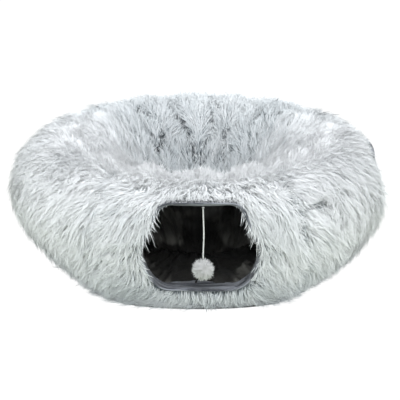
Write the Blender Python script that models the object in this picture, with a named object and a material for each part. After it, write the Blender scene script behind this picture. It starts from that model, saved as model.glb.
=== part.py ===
"""Donut cat tunnel: a padded ring of long-pile plush with a tunnel inside it.

The origin is the middle of the base cloth's underside. The ring stands on the XY plane, +Z is up, and
the front entrance faces -Y. A point of the ring's wall is found from an angle around the ring, a run
along its section and a depth below the fur's surface. The run starts at the outer foot, passes the
crest and ends at the foot of the well. Every padded layer is a block of that space.
"""

import math

import bmesh
import bpy
from mathutils import Vector

# Overall sizes of the ring, in metres
OUTER_RADIUS = 0.379
WELL_FOOT_RADIUS = 0.098
HEIGHT = 0.258

# Layers of the wall, from the fur's surface inwards
PILE_THICKNESS = 0.018
WALL_WADDING_THICKNESS = 0.016
WELL_WADDING_THICKNESS = 0.012
LINING_THICKNESS = 0.0015
PLEAT_DEPTH = 0.017

# Layers of the floor, from the ground up
BASE_CLOTH_THICKNESS = 0.003
FLOOR_WADDING_THICKNESS = 0.034
FLOOR_LINING_THICKNESS = 0.0015

# Gaps between neighbouring pieces
GAP = 0.0003
SOFT_GAP = 0.0012

# Entrances: rounded outlines, widest at a height above their sills
SILL_HEIGHT = 0.043
COVER_OVER_ENTRANCE = 0.046
ENTRANCE_BOTTOM_WIDTH = 0.172
ENTRANCE_MIDDLE_WIDTH = 0.228
ENTRANCE_TOP_WIDTH = 0.142
ENTRANCE_MIDDLE_RISE = 0.081
ENTRANCE_BOTTOM_CORNER = 0.045
ENTRANCE_MIDDLE_CORNER = 0.06
ENTRANCE_TOP_CORNER = 0.03
ENTRANCE_SIDE_OFFSET = 0.002
FACING_THICKNESS = 0.0025
FACING_INSET = 0.006
FACING_LIP = 0.003
CUTTER_OVERRUN = 0.03
THRESHOLD_DEPTH = 0.018
THRESHOLD_END_DEPTH = 0.006
THRESHOLD_WIDTH = 0.16
THRESHOLD_THICKNESS = 0.0015

# Centre mat and hanging toy
MAT_THICKNESS = 0.034
MAT_CROWN = 0.012
MAT_EDGE_RADIUS = 0.008
TOY_SIDE_OFFSET = 0.007
TOY_INSET = 0.016
KNOT_DIAMETER = 0.005
ELASTIC_DIAMETER = 0.0025
ELASTIC_LENGTH = 0.096
ELASTIC_BOW = 0.0012
POMPOM_DIAMETER = 0.042

# Angles, in degrees, counted from +X towards +Y
FRONT_ANGLE = -90.0
FRONT_REACH = 62.0
FLAT_FRONT_REACH = 28.0
SIDE_ENTRANCE_ANGLE = 0.0

# The ring's section as (radius, height) shares: outer foot, side up to SIDE_RUN, crest at CREST_RUN,
# well wall, well foot
SIDE_SECTION_SHARES = (
    (0.66, 0.0), (0.845, 0.185), (1.0, 0.505), (0.95, 0.76), (0.79, 0.935), (0.56, 1.0),
    (0.38, 0.945), (0.25, 0.79), (0.155, 0.59), (0.08, 0.37), (0.025, 0.165), (0.0, 0.0),
)
FRONT_SECTION_SHARES = (
    (0.80, 0.0), (0.90, 0.185), (0.955, 0.48), (0.95, 0.745), (0.82, 0.905), (0.56, 0.98),
    (0.38, 0.93), (0.25, 0.775), (0.155, 0.58), (0.08, 0.365), (0.025, 0.165), (0.0, 0.0),
)
SIDE_RUN = 3
CREST_RUN = 5
LAST_RUN = len(SIDE_SECTION_SHARES) - 1
WALL_ROWS = 7
WELL_ROWS = 6
FOOT_RUN = 1.3

# The well is narrower from side to side than from front to back, and the right side hangs lower
WELL_OVAL_SHARE = 0.13
RIGHT_FULLNESS_SHARE = 0.05

# Gathered pleats of the well, the drift of each valley as a share of the pitch, and where they fade
PLEAT_COUNT = 16
STATIONS_PER_PLEAT = 4
PLEAT_DRIFT_SHARES = (
    0.0, -0.12, 0.1, -0.15, 0.1, 0.28, 0.5, 0.05, 0.15, 0.19, -0.05, 0.12, -0.1, 0.1, 0.12, 0.0,
)
PLEAT_FADE_SHARES = (0.0, 0.0, 0.0, 0.0, 0.15, 0.5, 0.85, 1.0, 1.0, 0.8, 0.4, 0.1)

# Panels of the ring: name, first and last pleat valley of each
PANELS = (("front", 14, 17), ("right", 1, 5), ("rear", 5, 10), ("left", 10, 14))

CORNER_STEPS = 5
EDGE_STEPS = 4
MAT_SEGMENTS = 24
MAT_RINGS = 4
BALL_SEGMENTS = 14
BALL_RINGS = 9
KNOT_SEGMENTS = 8
KNOT_RINGS = 6
ELASTIC_POINTS = 17
ELASTIC_BEVEL_STEPS = 2
THRESHOLD_STEPS = 12
SMOOTH_ANGLE = math.radians(50)

BASE_TOP = BASE_CLOTH_THICKNESS + GAP
FLOOR_TOP = BASE_TOP + FLOOR_WADDING_THICKNESS + GAP + FLOOR_LINING_THICKNESS
ENTRANCE_TOP = HEIGHT - COVER_OVER_ENTRANCE
WADDING_START = PILE_THICKNESS + GAP


def curve_through(table, run):
    """A point of the smooth curve through a table, at a run counted in the table's steps."""
    last = len(table) - 1
    step = min(int(run), last - 1)
    share = run - step
    before, start, end, after = (table[min(max(step + k, 0), last)] for k in (-1, 0, 1, 2))
    point = []
    for a, b, c, d in zip(before, start, end, after):
        cubic = 3 * b - a - 3 * c + d
        square = 2 * a - 5 * b + 4 * c - d
        point.append((2 * b + (c - a) * share + square * share ** 2 + cubic * share ** 3) / 2)
    return point


def ease(share):
    """A smooth step from 0 to 1."""
    share = min(max(share, 0), 1)
    return share * share * (3 - 2 * share)


def angle_between(angle, other):
    """The absolute angle between two directions, in degrees."""
    return abs((angle - other + 180) % 360 - 180)


def section(angle, run):
    """Radius and height of the fur's surface, without pleats."""
    side_radius, side_height = curve_through(SIDE_SECTION_SHARES, run)
    front_radius, front_height = curve_through(FRONT_SECTION_SHARES, run)
    turn = angle_between(angle, FRONT_ANGLE)
    front = ease(1 - turn / FRONT_REACH)
    low = max(0, 1 - run / SIDE_RUN)
    lean = max(0, math.cos(math.radians(angle))) * min(run, 1) * low
    side_radius += RIGHT_FULLNESS_SHARE * lean
    span = OUTER_RADIUS - WELL_FOOT_RADIUS
    flat = 1 / math.cos(math.radians(min(turn, FLAT_FRONT_REACH))) - 1
    side = WELL_FOOT_RADIUS + span * side_radius
    face = (WELL_FOOT_RADIUS + span * front_radius) * (1 + low * flat)
    oval = ease((run - CREST_RUN + 1) / 2) * (1 - ease((run - CREST_RUN - 3) / 3))
    radius = (side + (face - side) * front) * (1 - WELL_OVAL_SHARE * oval * math.cos(math.radians(2 * angle)))
    height = side_height + (front_height - side_height) * front
    return radius, BASE_TOP + (HEIGHT - BASE_TOP) * height


def inward(angle, run):
    """The direction in which depth is counted: square to the section, and level at both feet."""
    step = 1 / (WALL_ROWS + WELL_ROWS)
    before = section(angle, max(run - step, 0))
    after = section(angle, min(run + step, LAST_RUN))
    square = Vector((before[1] - after[1], after[0] - before[0])).normalized()
    at_foot = 1 - ease(run / FOOT_RUN)
    at_well = 1 - ease((LAST_RUN - run) / FOOT_RUN)
    return (square * (1 - at_foot - at_well) + Vector((at_well - at_foot, 0))).normalized()


def wadding_thickness(run):
    """The wadding is thick on the outer wall and thin on the well's wall."""
    share = ease((run - CREST_RUN + 1) / 2)
    return WALL_WADDING_THICKNESS + (WELL_WADDING_THICKNESS - WALL_WADDING_THICKNESS) * share


def lining_start(run):
    """Depth of the lining's outer face."""
    return WADDING_START + wadding_thickness(run) + GAP


def wall_end(run):
    """Depth of the lining's inner face, which the cat sees."""
    return lining_start(run) + LINING_THICKNESS


def valley_angle(number):
    """Angle of a pleat's valley."""
    drift = PLEAT_DRIFT_SHARES[number % PLEAT_COUNT]
    return FRONT_ANGLE + (number + 1 / 2 + drift) * 360 / PLEAT_COUNT


def station_angle(station):
    """Angle of a station; each pleat has STATIONS_PER_PLEAT of them."""
    number, part = divmod(station, STATIONS_PER_PLEAT)
    start = valley_angle(number)
    return start + (valley_angle(number + 1) - start) * part / STATIONS_PER_PLEAT


def wall_point(station, run, depth, along=0, around=0):
    """A point of the wall at a station, moved a little along its section or around the ring."""
    angle = station_angle(station)
    radius, height = section(angle, run)
    inside = inward(angle, run)
    valley = 1 - abs(math.sin(math.pi * station / STATIONS_PER_PLEAT))
    fade = curve_through([(share,) for share in PLEAT_FADE_SHARES], run)[0]
    pleat = PLEAT_DEPTH * valley * fade * max(0, 1 - depth / wall_end(run))
    offset = inside * (depth + pleat) + Vector((inside.y, -inside.x)) * along
    radius += offset.x
    turn = math.radians(angle) + around / radius
    return Vector((radius * math.cos(turn), radius * math.sin(turn), height + offset.y))


def wall_radius(angle, height, outer=True):
    """Radius of the lining's inner face at a height near the floor."""
    start, span, rows = (0, CREST_RUN, WALL_ROWS) if outer else (LAST_RUN, CREST_RUN - LAST_RUN, WELL_ROWS)
    points = []
    for row in range(rows):
        run = start + span * row / rows
        radius, level = section(angle, run)
        inside = inward(angle, run) * wall_end(run)
        points.append((radius + inside.x, level + inside.y))
    low, high = next(pair for pair in zip(points, points[1:]) if pair[1][1] > height)
    return low[0] + (high[0] - low[0]) * (height - low[1]) / (high[1] - low[1])


def material(name, colour, roughness):
    """A cloth-like material."""
    found = bpy.data.materials.get(name)
    if found:
        return found
    made = bpy.data.materials.new(name)
    made.use_nodes = True
    shader = made.node_tree.nodes["Principled BSDF"]
    shader.inputs["Base Color"].default_value = (*colour, 1)
    shader.inputs["Roughness"].default_value = roughness
    shader.inputs["Metallic"].default_value = 0
    return made


def plush():
    return material("white_plush", (0.74, 0.78, 0.79), 0.9)


def wadding():
    return material("wadding", (0.85, 0.85, 0.83), 0.95)


def black_lining():
    return material("black_lining", (0.012, 0.012, 0.013), 0.6)


def grey_nylon():
    return material("grey_nylon", (0.16, 0.18, 0.22), 0.45)


def base_cloth():
    return material("base_cloth", (0.03, 0.03, 0.033), 0.8)


def white_yarn():
    return material("white_yarn", (0.85, 0.86, 0.86), 0.9)


def add_object(name, mesh, finish, place=Vector((0, 0, 0))):
    """Put a finished bmesh into the scene as one named object."""
    bmesh.ops.recalc_face_normals(mesh, faces=mesh.faces[:])
    data = bpy.data.meshes.new(name)
    mesh.to_mesh(data)
    mesh.free()
    data.shade_smooth()
    data.set_sharp_from_angle(angle=SMOOTH_ANGLE)
    made = bpy.data.objects.new(name, data)
    made.location = place
    bpy.context.scene.collection.objects.link(made)
    if finish:
        data.materials.append(finish)
    return made


def slab(columns, rows, place):
    """A closed block of columns by rows faces, each corner put where place(column, row, far) says."""
    mesh = bmesh.new()
    bmesh.ops.create_grid(mesh, x_segments=columns, y_segments=rows, size=1)
    bmesh.ops.triangulate(mesh, faces=mesh.faces[:], quad_method="FIXED")
    far_side = bmesh.ops.extrude_face_region(mesh, geom=mesh.faces[:])["geom"]
    far = {item for item in far_side if isinstance(item, bmesh.types.BMVert)}
    for vertex in mesh.verts:
        column = round((vertex.co.x + 1) * columns / 2)
        row = round((vertex.co.y + 1) * rows / 2)
        vertex.co = place(column, row, vertex in far)
    return mesh


def wall_block(stations, runs, near, far):
    """A block of the wall between two stations, two runs and two depths, with seam gaps around it."""
    first, last = stations
    rows = WALL_ROWS if runs[0] == 0 else WELL_ROWS
    half = GAP / 2

    def place(column, row, is_far):
        run = runs[0] + (runs[1] - runs[0]) * row / rows
        along = half * (run == CREST_RUN) * (1 if runs[0] == CREST_RUN else -1)
        around = half * ((column == 0) - (column == last - first))
        depth = far(run) if is_far else near(run)
        return wall_point(first + column, run, depth, along, around)

    return slab(last - first, rows, place)


def rounded_outline(corners, radii):
    """Points of a convex outline whose corners are rounded, each with its outward normal."""
    points = []
    for k, corner in enumerate(corners):
        before, after = corners[k - 1], corners[(k + 1) % len(corners)]
        arrive = (corner - before).normalized()
        leave = (after - corner).normalized()
        turn = arrive.angle(leave)
        cut = radii[k] * math.tan(turn / 2)
        start = corner - arrive * cut
        out = Vector((arrive.y, -arrive.x))
        centre = start - out * radii[k]
        for step in range(CORNER_STEPS + 1):
            share = turn * step / CORNER_STEPS
            normal = out * math.cos(share) + arrive * math.sin(share)
            points.append((centre + normal * radii[k], normal))
        following = radii[(k + 1) % len(corners)]
        ahead = corners[(k + 2) % len(corners)] - after
        next_cut = following * math.tan(leave.angle(ahead) / 2)
        begin, finish = corner + leave * cut, after - leave * next_cut
        for step in range(1, EDGE_STEPS):
            points.append((begin.lerp(finish, step / EDGE_STEPS), Vector((leave.y, -leave.x))))
    return points


def entrance_outline(inset):
    """The entrance's outline, as (sideways, height) points, moved inwards by an inset."""
    bottom, middle, top = ENTRANCE_BOTTOM_WIDTH / 2, ENTRANCE_MIDDLE_WIDTH / 2, ENTRANCE_TOP_WIDTH / 2
    widest = SILL_HEIGHT + ENTRANCE_MIDDLE_RISE
    corners = [Vector(c) for c in (
        (-bottom, SILL_HEIGHT), (bottom, SILL_HEIGHT), (middle, widest),
        (top, ENTRANCE_TOP), (-top, ENTRANCE_TOP), (-middle, widest))]
    radii = (ENTRANCE_BOTTOM_CORNER, ENTRANCE_BOTTOM_CORNER, ENTRANCE_MIDDLE_CORNER,
             ENTRANCE_TOP_CORNER, ENTRANCE_TOP_CORNER, ENTRANCE_MIDDLE_CORNER)
    return [point - normal * inset for point, normal in rounded_outline(corners, radii)]


def entrance_place(angle, sideways, height, distance):
    """A point seen from an entrance: sideways and up across it, and its distance from the ring's axis."""
    turn = math.radians(angle)
    out = Vector((math.cos(turn), math.sin(turn), 0))
    side = Vector((-math.sin(turn), math.cos(turn), 0))
    return out * distance + side * (sideways + ENTRANCE_SIDE_OFFSET) + Vector((0, 0, height))


def entrance_tool(name, angle, insets):
    """A prism of the entrance's outline, or a ring of it between two insets, used as a cutting guide."""
    near = WELL_FOOT_RADIUS + (OUTER_RADIUS - WELL_FOOT_RADIUS) * SIDE_SECTION_SHARES[CREST_RUN][0]
    distances = (near, OUTER_RADIUS + CUTTER_OVERRUN)
    mesh = bmesh.new()
    loops = []
    for inset in insets:
        outline = entrance_outline(inset)
        loops.append([[mesh.verts.new(entrance_place(angle, p.x, p.y, d)) for p in outline]
                      for d in distances])
    count = len(loops[0][0])
    for pair in loops:
        for k in range(count):
            mesh.faces.new((pair[0][k - 1], pair[0][k], pair[1][k], pair[1][k - 1]))
    for end in (0, 1):
        if len(loops) == 1:
            mesh.faces.new(loops[0][end])
            continue
        for k in range(count):
            outer, inner = loops[0][end], loops[1][end]
            mesh.faces.new((outer[k - 1], outer[k], inner[k], inner[k - 1]))
    guide = add_object(name, mesh, None)
    guide.hide_render = True
    guide.display_type = "WIRE"
    return guide


def combine(piece, guide, operation):
    """Cut a piece with a guide, or keep only what both hold."""
    cut = piece.modifiers.new("entrance", "BOOLEAN")
    cut.operation = operation
    cut.solver = "EXACT"
    cut.object = guide


def make_wall(name, valleys, openings):
    """The fur, wadding and lining of one panel, on the outer wall and in the well."""
    stations = [valley * STATIONS_PER_PLEAT for valley in valleys]
    layers = (
        ("fur", plush, lambda run: 0, lambda run: PILE_THICKNESS),
        ("wadding", wadding, lambda run: WADDING_START, lambda run: WADDING_START + wadding_thickness(run)),
        ("lining", black_lining, lining_start, wall_end),
    )
    for layer, finish, near, far in layers:
        for part, runs in (("wall", (0, CREST_RUN)), ("well", (CREST_RUN, LAST_RUN))):
            block = wall_block(stations, runs, near, far)
            piece = add_object(f"{name}_{part}_{layer}", block, finish())
            if part == "wall" and name in openings:
                combine(piece, openings[name], "DIFFERENCE")


def make_entrance(name, angle, valleys):
    """The cutting guide of an entrance, its nylon facing and the threshold behind its sill."""
    opening = entrance_tool(f"{name}_entrance_guide", angle, (0,))
    stations = [valley * STATIONS_PER_PLEAT for valley in valleys]
    strip = wall_block(stations, (0, CREST_RUN), lambda run: FACING_INSET,
                       lambda run: wall_end(run) + FACING_LIP)
    facing = add_object(f"{name}_entrance_facing", strip, grey_nylon())
    ring = entrance_tool(f"{name}_facing_guide", angle, (GAP, GAP + FACING_THICKNESS))
    combine(facing, ring, "INTERSECT")
    make_threshold(name, angle)
    return opening


def make_threshold(name, angle):
    """A crescent of nylon on the tunnel's floor, just inside the entrance."""
    bottom = FLOOR_TOP + GAP
    reach = math.degrees(THRESHOLD_WIDTH / 2 / OUTER_RADIUS)

    def place(column, row, is_far):
        share = 2 * column / THRESHOLD_STEPS - 1
        turn = angle + reach * share
        edge = wall_radius(turn, bottom) - FACING_LIP - SOFT_GAP
        depth = THRESHOLD_END_DEPTH + (THRESHOLD_DEPTH - THRESHOLD_END_DEPTH) * (1 - share * share)
        radius = edge - depth * row
        height = bottom + THRESHOLD_THICKNESS * is_far
        spin = math.radians(turn)
        return Vector((radius * math.cos(spin), radius * math.sin(spin), height))

    add_object(f"{name}_threshold", slab(THRESHOLD_STEPS, 1, place), grey_nylon())


def make_base():
    """The base cloth under the whole ring."""
    stations = PLEAT_COUNT * STATIONS_PER_PLEAT
    mesh = bmesh.new()
    outline = []
    for station in range(stations):
        point = wall_point(station, 0, 0)
        outline.append(mesh.verts.new((point.x, point.y, 0)))
    face = mesh.faces.new(outline)
    top = bmesh.ops.extrude_face_region(mesh, geom=[face])["geom"]
    raised = [item for item in top if isinstance(item, bmesh.types.BMVert)]
    bmesh.ops.translate(mesh, verts=raised, vec=(0, 0, BASE_CLOTH_THICKNESS))
    add_object("base_cloth", mesh, base_cloth())


def floor_ring(name, bottom, thickness, finish):
    """A flat ring on the tunnel's floor, between the outer lining and the well's lining."""
    stations = PLEAT_COUNT * STATIONS_PER_PLEAT
    mesh = bmesh.new()
    loops = []
    for outer, height in ((True, bottom), (True, bottom + thickness),
                          (False, bottom + thickness), (False, bottom)):
        loop = []
        for station in range(stations):
            angle = station_angle(station)
            clearance = -SOFT_GAP if outer else SOFT_GAP
            radius = wall_radius(angle, height, outer) + clearance
            turn = math.radians(angle)
            loop.append(mesh.verts.new((radius * math.cos(turn), radius * math.sin(turn), height)))
        loops.append(loop)
    for k, loop in enumerate(loops):
        before = loops[k - 1]
        for j in range(stations):
            mesh.faces.new((before[j - 1], before[j], loop[j], loop[j - 1]))
    add_object(name, mesh, finish)


def make_floor():
    """The padding of the tunnel's floor and the lining on it."""
    floor_ring("floor_wadding", BASE_TOP, FLOOR_WADDING_THICKNESS, wadding())
    lining_bottom = BASE_TOP + FLOOR_WADDING_THICKNESS + GAP
    floor_ring("floor_lining", lining_bottom, FLOOR_LINING_THICKNESS, black_lining())


def make_mat():
    """The round, crowned mat at the bottom of the well."""
    radius = WELL_FOOT_RADIUS - SOFT_GAP
    mesh = bmesh.new()
    low = BASE_TOP
    profile = [(0, low), (radius - MAT_EDGE_RADIUS, low), (radius, low + MAT_EDGE_RADIUS)]
    side_top = MAT_THICKNESS - MAT_CROWN
    for k in range(MAT_RINGS):
        turn = math.pi / 2 * k / MAT_RINGS
        profile.append((radius * math.cos(turn), low + side_top + MAT_CROWN * math.sin(turn)))
    profile.append((0, low + side_top + MAT_CROWN))
    chain = [mesh.verts.new((x, 0, z)) for x, z in profile]
    edges = [mesh.edges.new(pair) for pair in zip(chain, chain[1:])]
    bmesh.ops.spin(mesh, geom=chain + edges, cent=(0, 0, 0), axis=(0, 0, 1), angle=2 * math.pi,
                   steps=MAT_SEGMENTS, use_merge=True)
    bmesh.ops.remove_doubles(mesh, verts=mesh.verts[:], dist=GAP / 3)
    add_object("centre_mat", mesh, plush())


def ball(name, diameter, segments, rings, centre, finish):
    """A round piece whose origin is its middle."""
    mesh = bmesh.new()
    bmesh.ops.create_uvsphere(mesh, u_segments=segments, v_segments=rings, radius=diameter / 2)
    return add_object(name, mesh, finish, centre)


def make_toy():
    """The knot under the entrance's top facing, the elastic that hangs from it, and the pompom."""
    ceiling = ENTRANCE_TOP - GAP - FACING_THICKNESS
    runs = [CREST_RUN * k / WALL_ROWS for k in range(WALL_ROWS // 2, WALL_ROWS + 1)]
    face = [section(FRONT_ANGLE, run) for run in runs]
    low, high = next(pair for pair in zip(face, face[1:]) if pair[1][1] > ceiling)
    share = (ceiling - low[1]) / (high[1] - low[1])
    distance = low[0] + (high[0] - low[0]) * share - TOY_INSET
    knot_height = ceiling - GAP - KNOT_DIAMETER / 2
    hang = Vector((TOY_SIDE_OFFSET, -distance, knot_height))
    ball("toy_knot", KNOT_DIAMETER, KNOT_SEGMENTS, KNOT_RINGS, hang, white_yarn())

    top = KNOT_DIAMETER / 2 + GAP
    curve = bpy.data.curves.new("toy_elastic", "CURVE")
    curve.dimensions = "3D"
    curve.bevel_depth = ELASTIC_DIAMETER / 2
    curve.bevel_resolution = ELASTIC_BEVEL_STEPS
    curve.use_fill_caps = True
    line = curve.splines.new("POLY")
    line.points.add(ELASTIC_POINTS - 1)
    for k, point in enumerate(line.points):
        share = k / (ELASTIC_POINTS - 1)
        bow = ELASTIC_BOW * math.sin(math.pi * share) ** 2
        point.co = (bow, 0, -top - ELASTIC_LENGTH * share, 1)
    elastic = bpy.data.objects.new("toy_elastic", curve)
    elastic.location = hang
    curve.materials.append(white_yarn())
    bpy.context.scene.collection.objects.link(elastic)

    drop = top + ELASTIC_LENGTH + GAP + POMPOM_DIAMETER / 2
    centre = hang - Vector((0, 0, drop))
    ball("toy_pompom", POMPOM_DIAMETER, BALL_SEGMENTS, BALL_RINGS, centre, white_yarn())


def main():
    for leftover in list(bpy.data.objects):
        bpy.data.objects.remove(leftover)
    valleys = {name: (first, last) for name, first, last in PANELS}
    openings = {
        "front": make_entrance("front", FRONT_ANGLE, valleys["front"]),
        "right": make_entrance("right", SIDE_ENTRANCE_ANGLE, valleys["right"]),
    }
    for name, pair in valleys.items():
        make_wall(name, pair, openings)
    make_base()
    make_floor()
    make_mat()
    make_toy()


main()
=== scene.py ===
"""Looks of the donut cat tunnel: long plush over padding, black lining, nylon facings and a hanging toy.

The fur is made of locks. A unit lock is bent, leaned and tapered once for each root that is scattered
over the fur's surface, and its neighbours draw together at their tips. Each lock carries its tone and
the way along it in its UV map, which is all that the fur's colour reads.
"""

import math
from functools import cached_property, partialmethod

import bmesh
import bpy
import numpy as np
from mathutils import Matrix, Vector
from mathutils.bvhtree import BVHTree
from mathutils.kdtree import KDTree


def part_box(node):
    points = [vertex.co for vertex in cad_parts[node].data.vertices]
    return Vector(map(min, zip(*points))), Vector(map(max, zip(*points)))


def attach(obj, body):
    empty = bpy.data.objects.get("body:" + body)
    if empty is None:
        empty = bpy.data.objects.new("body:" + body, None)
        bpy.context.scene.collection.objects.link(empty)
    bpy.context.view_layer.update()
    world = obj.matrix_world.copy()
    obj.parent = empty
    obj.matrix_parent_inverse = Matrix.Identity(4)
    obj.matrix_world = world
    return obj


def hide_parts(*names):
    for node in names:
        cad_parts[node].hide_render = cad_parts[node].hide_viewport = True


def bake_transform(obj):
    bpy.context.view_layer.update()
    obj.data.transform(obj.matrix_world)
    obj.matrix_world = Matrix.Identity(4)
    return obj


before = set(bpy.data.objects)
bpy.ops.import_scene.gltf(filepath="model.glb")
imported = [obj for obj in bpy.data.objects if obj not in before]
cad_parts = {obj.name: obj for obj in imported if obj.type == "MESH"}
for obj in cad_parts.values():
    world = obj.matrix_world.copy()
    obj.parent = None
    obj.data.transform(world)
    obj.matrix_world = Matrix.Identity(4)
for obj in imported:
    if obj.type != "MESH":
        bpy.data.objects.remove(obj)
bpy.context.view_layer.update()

# Camera of the photograph, in pixels of its frame and in metres
FRAME_PIXELS = 400
FOCAL_PIXELS = 1323.34
SENSOR_WIDTH = 36
CAMERA_ELEVATION = math.radians(18.82)
CAMERA_DISTANCE = 2.7316
AIM = Vector((0, 0, 0.12))
AIM_PIXEL = (199.3, 192.51)

# The ring, as its CAD model has it
SECTORS = [f"{panel}_{part}" for panel in ("front", "right", "rear", "left") for part in ("wall", "well")]
FRONT_ANGLE = -90
PLEAT_COUNT = 16
PLEAT_DRIFT_SHARES = (
    0.0, -0.12, 0.1, -0.15, 0.1, 0.28, 0.5, 0.05, 0.15, 0.19, -0.05, 0.12, -0.1, 0.1, 0.12, 0.0,
)
VALLEYS = FRONT_ANGLE + (np.arange(PLEAT_COUNT) + 0.5 + np.array(PLEAT_DRIFT_SHARES)) * 360 / PLEAT_COUNT
PANEL_SEAMS = VALLEYS[[1, 5, 10, 14]]
FRONT_SEAMS = VALLEYS[[1, 14]]
CREST_RADIUS = 0.255
PILE = 0.018
SEAM_GAP = 0.0006

# Size and number of the locks of fur
LOCKS_PER_SQUARE_METRE = 155000
LOCKS_PER_PIECE = 19000
CLUMP_SHARE = 0.38
LOCK_RISE = 0.0175
LOCK_REACH = 0.031
LOCK_HALF_WIDTH = 0.00065
LOCK_FLATNESS = 0.55
LOCK_TAPER = (1.0, 0.85, 0.0)
LOCK_STEPS = np.linspace(0, 1, len(LOCK_TAPER))
BACKING_DEPTH = 0.0165
BACKING_THICKNESS = 0.0012
GROUND_CLEARANCE = 0.0012
SOFT_TOP = 0.264
UTMOST_TOP = 0.273

# How the locks are shaded, where two values are of calm pile and of lively pile
OWN_NORMAL_SHARES = (0.11, 0.27)
LEAST_OWN_SHARES = (0.42, 0.62)
UPWARD_SHARE = 0.15
LOWEST_FACING = -0.05
CREST_FACING = (0, -0.6, 0.6)
TONE_SPREADS = (0.04, 0.13)
CLUMP_TONE_SPREAD = 0.04
TONE_RANGE = 1.25

# Tone of the fur, and what its dark places, partly painted shade in its creases and valleys, and its
# clouds add to it
FULL_TONE = 1.12
DARK_TONE = -0.95
CLOUD_TONE = 0.05

# Zones of the fur: what each adds to the tone, and where each measure of it starts and is whole. What the
# front, deep, low and back zones take off the tone is painted shade, and what the crest adds is painted
# light
ZONES = {
    "front": (-0.12, ("side", 0.24, 0.1), ("y", -0.2, -0.3), ("z", 0.24, 0.2)),
    "inside": (0, ("radius", CREST_RADIUS, CREST_RADIUS - 0.05)),
    "deep": (-0.1, ("radius", CREST_RADIUS, CREST_RADIUS / 2)),
    "low": (-0.28, ("z", 0.11, 0.04)),
    "back": (-0.3, ("y", -0.02, 0.16), ("radius", 0.33, 0.28)),
    "crest": (0.08, ("radius", 0.15, 0.2), ("radius", 0.3, 0.26), ("y", 0.16, -0.02)),
}

# Lie of the pile: from the well over the crest and down the wall, and parted on the front
OVERTURN_RADII = (CREST_RADIUS - 0.03, CREST_RADIUS + 0.05)
OUTWARD_SHARE = 0.65
FRONT_FACE = (-0.22, -0.29)
PARTING_X = 0.004
PARTING_HALF_WIDTH = 0.11
PARTING_SHARE = 0.6
LOW_SPLAY = 0.12
CREST_UPRIGHT_SHARE = 0.72
CREST_WIDTH = 0.038

# Swirls of the lie, as angle, length and seed: the last is on the crest alone
SWIRLS = ((0.35, 0.11, 11), (0.3, 0.035, 13), (1.0, 0.02, 15))

# Pleats and seams: how they draw the pile in and how dark they are. The pleats' darkness is painted shade
# in their valleys, with the plush's dark roots showing where the pile parts
PLEATED_RADII = (CREST_RADIUS + 0.04, CREST_RADIUS - 0.03)
DARK_PLEAT_RADII = (CREST_RADIUS, CREST_RADIUS - 0.04)
HIDDEN_PLEATS = (0.05, -0.05)
PLEAT_PULL = 0.5
PLEAT_WIDTH = 0.013
PLEAT_DARKNESS = ((0.45, 0.006), (0.15, 0.014))
SEAM_STRENGTH = 0.12
SEAM_WIDTH = 0.016

# Unevenness of the locks, first from clump to clump and then from lock to lock
LEAN_SPREADS = (0.22, 0.16)
LIFT_SPREADS = (0.1, 0.09)
LENGTH_SPREADS = (0.14, 0.12)
WIDTH_SPREAD = 0.2
CLUMP_DRAWS = (0.05, 0.45)
DRAW_SHARES = (0.4, 1)
DRAW_DISTANCE = 0.02
SPARED_SHARE = 0.5
SPARED_REACH = 0.012
SPARED_DARKNESS = 0.2
FLYAWAY_SHARE = 0.11
FLYAWAY_LIFT = 0.5
MOST_LIFT_SHARE = 1.55
FLOOR_GAPS = (0.001, 0.006)
LEAST_SPLAY = 0.05
LEAST_SIDE_SPLAY = 0.5

# Fringe of the fur around an entrance
FRINGE = 0.0048
MOST_FRINGE = 2.6 * FRINGE
FRINGE_LEAN = 0.016
FRINGE_GAP = 0.0115
FRINGE_UPRIGHT_WIDTH = 0.014
LIP_PRESS = 0.85

# Creases between the pleats and along the seams: darkness, half width in metres, and the x and y of the
# photograph's pixels along each. Their darkness is partly painted shade deep in the creases and partly the
# dark that shows through the parted pile
CREASES = (
    (0.9, 0.005, 139, 108, 147, 114, 153, 119),
    (0.5, 0.005, 153, 119, 159, 125, 162, 131),
    (1.2, 0.007, 162, 131, 163, 137, 162, 144, 158, 152),
    (0.5, 0.004, 146, 130, 151, 138, 155, 148),
    (0.4, 0.005, 177, 113, 179, 118),
    (1.4, 0.009, 179, 118, 184, 125, 187, 132, 190, 141, 193, 150, 195, 158, 198, 166),
    (0.3, 0.005, 211, 106, 211, 115),
    (1.3, 0.008, 211, 115, 211, 122, 211, 136),
    (1.0, 0.007, 206, 139, 203, 153, 204, 163),
    (0.4, 0.006, 228, 112, 227, 121, 225, 132),
    (1.4, 0.009, 225, 132, 223, 141, 221, 154, 217, 164),
    (1.2, 0.007, 262, 112, 256, 120, 248, 131),
    (0.35, 0.007, 248, 134, 241, 143, 232, 153),
    (0.25, 0.008, 300, 114, 284, 125, 268, 136, 252, 148),
    (1.1, 0.004, 284, 187, 288, 190, 293, 198, 299, 211),
    (1.1, 0.004, 303, 220, 306, 232, 307, 242),
    (0.35, 0.006, 306, 250, 306, 263, 305, 280, 299, 294),
    (1.1, 0.004, 303, 209, 311, 207, 324, 202),
    (0.3, 0.005, 337, 138, 347, 135, 357, 135),
    (0.45, 0.005, 107, 190, 100, 205, 97, 213),
    (0.45, 0.005, 93, 226, 88, 243, 90, 262),
    (0.25, 0.003, 183, 188, 190, 185),
    (0.3, 0.003, 207, 177, 219, 185),
    (0.3, 0.003, 137, 187, 144, 184),
    (1.4, 0.006, 358, 137, 361, 141, 364, 146),
    (1.4, 0.006, 372, 157, 374, 163),
    (1.4, 0.005, 381, 180, 382, 189),
)
CREASE_STEP = 0.7
CREASE_REACH = 0.003
CREASE_GAP = 0.0035
CREASE_DEPTH_SHARE = 0.4
CREASE_PULL_SHARE = 2.5
CREASE_SHARPNESS = 1.4
SEEN_REACH = 10

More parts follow.
